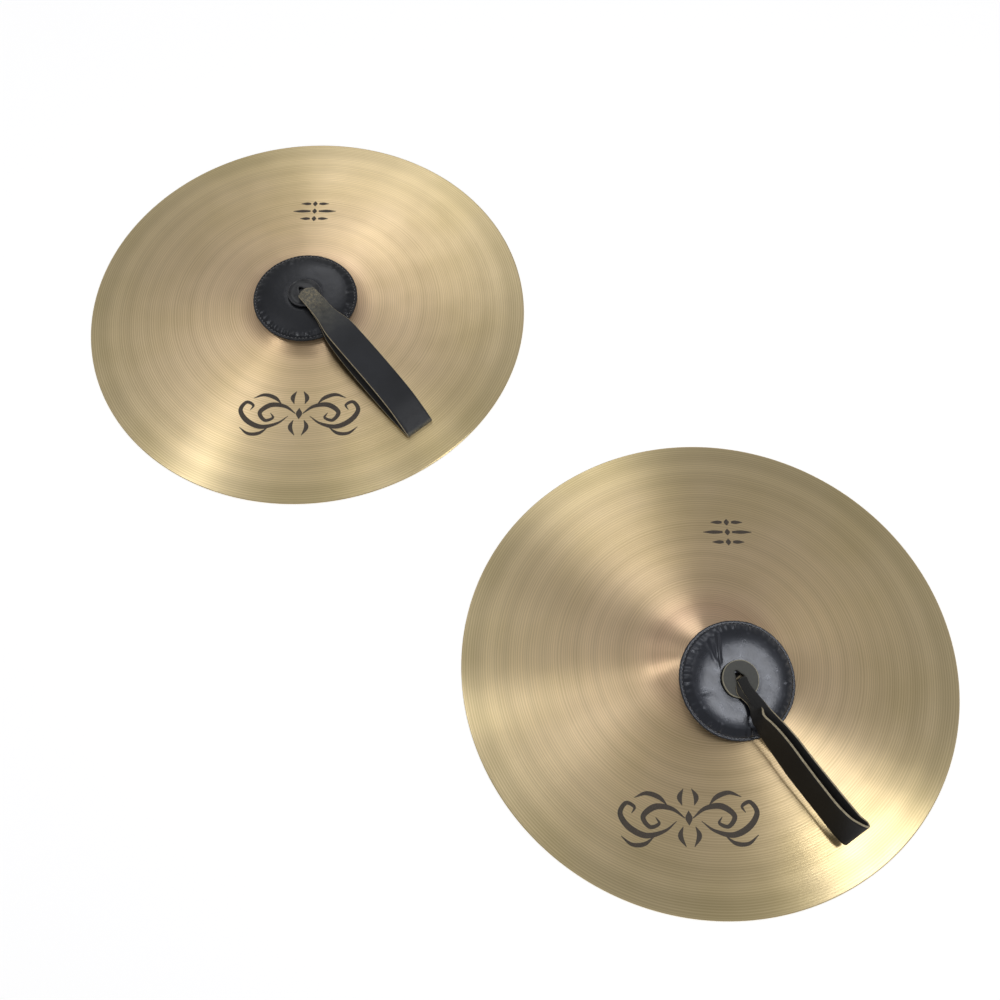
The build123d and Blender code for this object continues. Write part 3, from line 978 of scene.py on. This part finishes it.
def right_loop():
    """Strap that lies on its edge: a bunched neck over the washer, then two legs that stand apart.

    Each row is x out, y to the left hand and z up from the bend, half width, cup of the edges and
    the angle that the width stands at above the level.
    """
    near = [
        (1.3, 0, -13.4, 4.7, 0.1, 0),
        (1.4, -0.4, -9.0, 4.9, 0.3, 0),
        (4.2, -4.2, -6.4, 5.2, 0.5, 0),
        (9.5, -6.8, -7.1, 5.6, 0.6, 4),
        (15, -5.6, -8.2, 5.6, 0.6, 8),
        (22, -4.4, -8.8, 5.6, 0.5, 10),
        (29, -5.8, -8.4, 6.0, 0.4, 18),
        (35, -9.2, -6.2, 8.0, 0.3, 46),
        (42, -12.8, -2.6, 11.0, 0.2, 72),
        (52, -12.8, -2.8, 14.0, 0.1, 73),
        (64, -12.2, -4.0, 15.9, 0, 73),
        (80, -12.0, -5.6, 17, 0, 73),
        (98, -12.3, -7.4, 17, 0, 72),
        (122, -11.7, -9.8, 17, 0, 73),
        (146, -10.7, -12.2, 17, 0, 73),
        (163, -8.9, -14.0, 17, 0, 68),
        (172.5, -6.6, -14.8, 17, 0, 61),
    ]
    bight = [
        (177.3, -4.0, -15.7, 17, 0, 57),
        (178.4, -1.6, -17.2, 17, 0, 56),
        (175.6, 0.8, -18.4, 17, 0, 58),
    ]
    far = [
        (166, 0.4, -18.0, 17, 0, 66),
        (146, 0.2, -15.6, 17, 0, 72),
        (122, -0.9, -13.0, 17, 0, 73),
        (98, -2.2, -10.4, 17, 0, 72),
        (78, -3.0, -8.2, 16.8, 0, 70),
        (63, -4.0, -6.8, 15.0, 0.3, 66),
        (51, -4.9, -5.8, 11.8, 0.8, 57),
        (40, -4.4, -5.2, 8.4, 1.2, 42),
        (30, -2.7, -5.3, 6.4, 1.3, 27),
        (20, -2.0, -5.5, 5.5, 1.2, 14),
        (12, -2.0, -4.9, 5.1, 1.0, 6),
        (5, -1.5, -3.2, 5.0, 0.9, 0),
        (0.6, -0.5, -3.2, 4.9, 0.7, 0),
        (-1.3, 0, -7.4, 4.8, 0.3, 0),
        (-1.3, 0, -13.4, 4.7, 0.1, 0),
    ]
    origin = joint_place("loop_tilt_right")
    basis = strap_basis("right")
    steps = 7
    curve = spline(scaled(near + bight + far), steps)
    places = [origin + basis @ Vector(c[:3]) for c in curve]
    turn = (len(near) + 1) * steps
    rows = []
    facing = basis @ Vector((-1, 0, 0))
    for i, place in enumerate(places):
        ahead, behind = places[min(i + 1, len(places) - 1)], places[max(i - 1, 0)]
        tangent = (ahead - behind).normalized()
        stand = curve[i][5]
        width = basis @ Vector((0, math.cos(stand), math.sin(stand)))
        width = (width - tangent * width.dot(tangent)).normalized()
        normal = width.cross(tangent)
        if normal.dot(facing) < 0:
            normal = -normal
        facing = normal
        cup = -curve[i][4] if i > turn else curve[i][4]
        rows.append((place, width, normal, curve[i][3], cup))
    loop = add_strip("hand_strap_right", rows, origin, STRAP["right"],
                     ["strap_loop_right", "strap_neck_right"], worn_edge=True)
    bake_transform(loop)


def build_slack():
    """Spare strap under the slid pad, two layers thick."""
    shift = joint_axis("pad_shift_right")
    out = shift.cross(UP)
    basis = Matrix((out, shift, UP)).transposed()
    origin = PLATE_CENTRE["right"]
    foot = PADS["right"].foot - origin
    reach = foot.dot(out) / MM
    rise = foot.z / MM
    layers = (("strap_slack_top", 1.25, ["strap_slack_right"]), ("strap_slack_under", -1.25, []))
    for name, off, nodes in layers:
        controls = [
            (-off, 0, 30.6, 4.7, 0, 0),
            (-off, 0, 32.6, 4.7, 0, 0),
            (3, 0, 35.2 + off * 0.9, 4.9, 0, 0),
            (reach * 0.45, 0, 34.2 + off, 5, 0, 0),
            (reach * 0.8, 0, 32.4 + off, 5, 0, 0),
            (reach - off - 1.2, 0, rise - 0.4 + off * 0.4, 4.8, 0, 0),
            (reach - off, 0, rise + 1.6, 4.7, 0, 0),
        ]
        rows = strip_rows(scaled(controls), 6, basis, origin)
        strip = add_strip(name, rows, origin, STRAP["right"], nodes)
        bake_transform(strip)


def build_knot(side):
    """Crown knot inside the bell: each tail crosses over one neighbour and tucks under the next."""
    pad_out = PADS[side].out
    level_out = Vector((pad_out.x, pad_out.y, 0)).normalized()
    origin = PLATE_CENTRE[side]
    controls = [
        (1.25, 2.5, 31.0, 2.3, 0, 0),
        (1.4, 2.7, 28.2, 2.6, 0, 0),
        (3.5, 4.4, 26.4, 3.8, 0, 0),
        (8.5, 6.4, 25.4, 4.4, 0, 0),
        (12.6, 6.9, 23.2, 4.4, 0, 0),
        (12.4, 6.8, 20.0, 4.4, 0, 0),
        (8.6, 6.4, 18.2, 4.4, 0.2, 0),
        (2.5, 6.2, 18.0, 4.4, 0.2, 0),
        (-3.0, 6.2, 19.6, 4.4, 0, 0),
        (-8.0, 6.2, 21.6, 4.4, 0, 0),
        (-14.0, 6.3, 21.8, 4.4, 0.2, 0),
        (-20.0, 6.6, 21.2, 4.2, 0.4, 3),
        (-26.5, 7.0, 20.4, 3.6, 0.3, 5),
    ]
    hidden_nodes = [f"strap_knot_{side}", f"strap_tails_{side}", f"strap_ends_{side}"]
    for quarter in range(4):
        out = Matrix.Rotation(math.radians(90 * quarter), 3, "Z") @ level_out
        basis = Matrix((out, UP.cross(out), UP)).transposed()
        rows = strip_rows(scaled(controls), 5, basis, origin)
        name = f"knot_tail_{quarter + 1}_{side}"
        strip = add_strip(name, rows, origin, STRAP["right"], hidden_nodes if quarter == 0 else [])
        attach(strip, f"strap_{side}")


# ------------------------------------------------------------------ the whole


def build_object():
    """Every piece of the object; both plates' marks stand upright in the same direction."""
    away = math.radians(135)
    for side in SIDES:
        build_plate(side)
        build_cover(side)
        build_pad_layer(side, "wool_felt", f"pad_felt_{side}", FELT,
                        lambda r: pad_under(r) + PAD_LEATHER + FELT_GAP,
                        lambda r: pad_over(r) - PAD_LEATHER - FELT_GAP, FELT_RADIUS)
        build_pad_layer(side, "leather_lining", f"pad_lining_{side}", LINING,
                        pad_under, lambda r: pad_under(r) + PAD_LEATHER, LINING_RADIUS)
        build_stitches(side)
        build_washer(side)
        build_knot(side)
    left_loop()
    right_loop()
    build_slack()
    build_mark("scroll_mark", "left", scroll_strokes(), math.radians(-45), 146 * MM, away)
    build_mark("rule_mark", "left", rule_strokes(), math.radians(135), 140 * MM, away)
    build_mark("scroll_mark", "right", scroll_strokes(), math.radians(-56.6), 163 * MM, away)
    build_mark("rule_mark", "right", rule_strokes(), math.radians(123.5), 147 * MM, away)


def area_light(name, place, target, size, power):
    """Square white light."""
    lamp = bpy.data.lights.new(name, "AREA")
    lamp.size = size
    lamp.energy = power
    thing = bpy.data.objects.new(name, lamp)
    bpy.context.scene.collection.objects.link(thing)
    thing.location = place
    thing.rotation_euler = (target - place).to_track_quat("-Z", "Y").to_euler()


def build_studio():
    """Pale floor, soft lights placed as the camera sees them, and the camera."""
    azimuth, elevation = math.radians(CAMERA_AZIMUTH), math.radians(CAMERA_ELEVATION)
    right = Vector((math.cos(azimuth), math.sin(azimuth), 0))
    away = Vector((-math.sin(azimuth), math.cos(azimuth), 0))
    world = bpy.data.worlds.new("studio")
    bpy.context.scene.world = world
    world.use_nodes = True
    world.node_tree.nodes["Background"].inputs["Color"].default_value = (1, 1, 1, 1)
    world.node_tree.nodes["Background"].inputs["Strength"].default_value = 0.35

    corners = [(-1, -1), (1, -1), (1, 1), (-1, 1)]
    mesh = mesh_from("floor", [(FLOOR_REACH * x, FLOOR_REACH * y, 0) for x, y in corners],
                     [(0, 1, 2, 3)], smooth_shade=False)
    paper = Shader("floor_paper").finish((0.90, 0.90, 0.91), 0.7, Emission_Color=(1, 1, 1, 1),
                                         Emission_Strength=0.50)
    new_object("floor", mesh, [paper])

    def spot(across, back, height):
        return right * across + away * back + UP * height

    area_light("key", spot(1.30, -0.45, 2.0), spot(0.2, -0.2, 0), size=0.55, power=8.0)
    area_light("back", spot(-0.39, 4.13, 4.12), spot(0, 0, 0), size=1.6, power=18.5)
    area_light("left", spot(-0.9, 0.9, 2.0), spot(-0.1, 0.1, 0), size=0.5, power=0.6)
    area_light("low", spot(-1.25, 0.17, 1.93), spot(-0.2, 0.2, 0), size=0.3, power=3.0)
    area_light("over", spot(-0.05, 0.3, 2.6), spot(0, 0, 0), size=0.45, power=1.6)

    camera = bpy.data.cameras.new("camera")
    camera.lens = CAMERA_LENS
    camera.sensor_width = 36
    thing = bpy.data.objects.new("camera", camera)
    bpy.context.scene.collection.objects.link(thing)
    forward = away * math.cos(elevation) - UP * math.sin(elevation)
    thing.location = CAMERA_TARGET - forward * CAMERA_DISTANCE
    thing.rotation_euler = forward.to_track_quat("-Z", "Y").to_euler()
    bpy.context.scene.camera = thing
    bpy.context.scene.view_settings.view_transform = "Standard"


build_object()
build_studio()
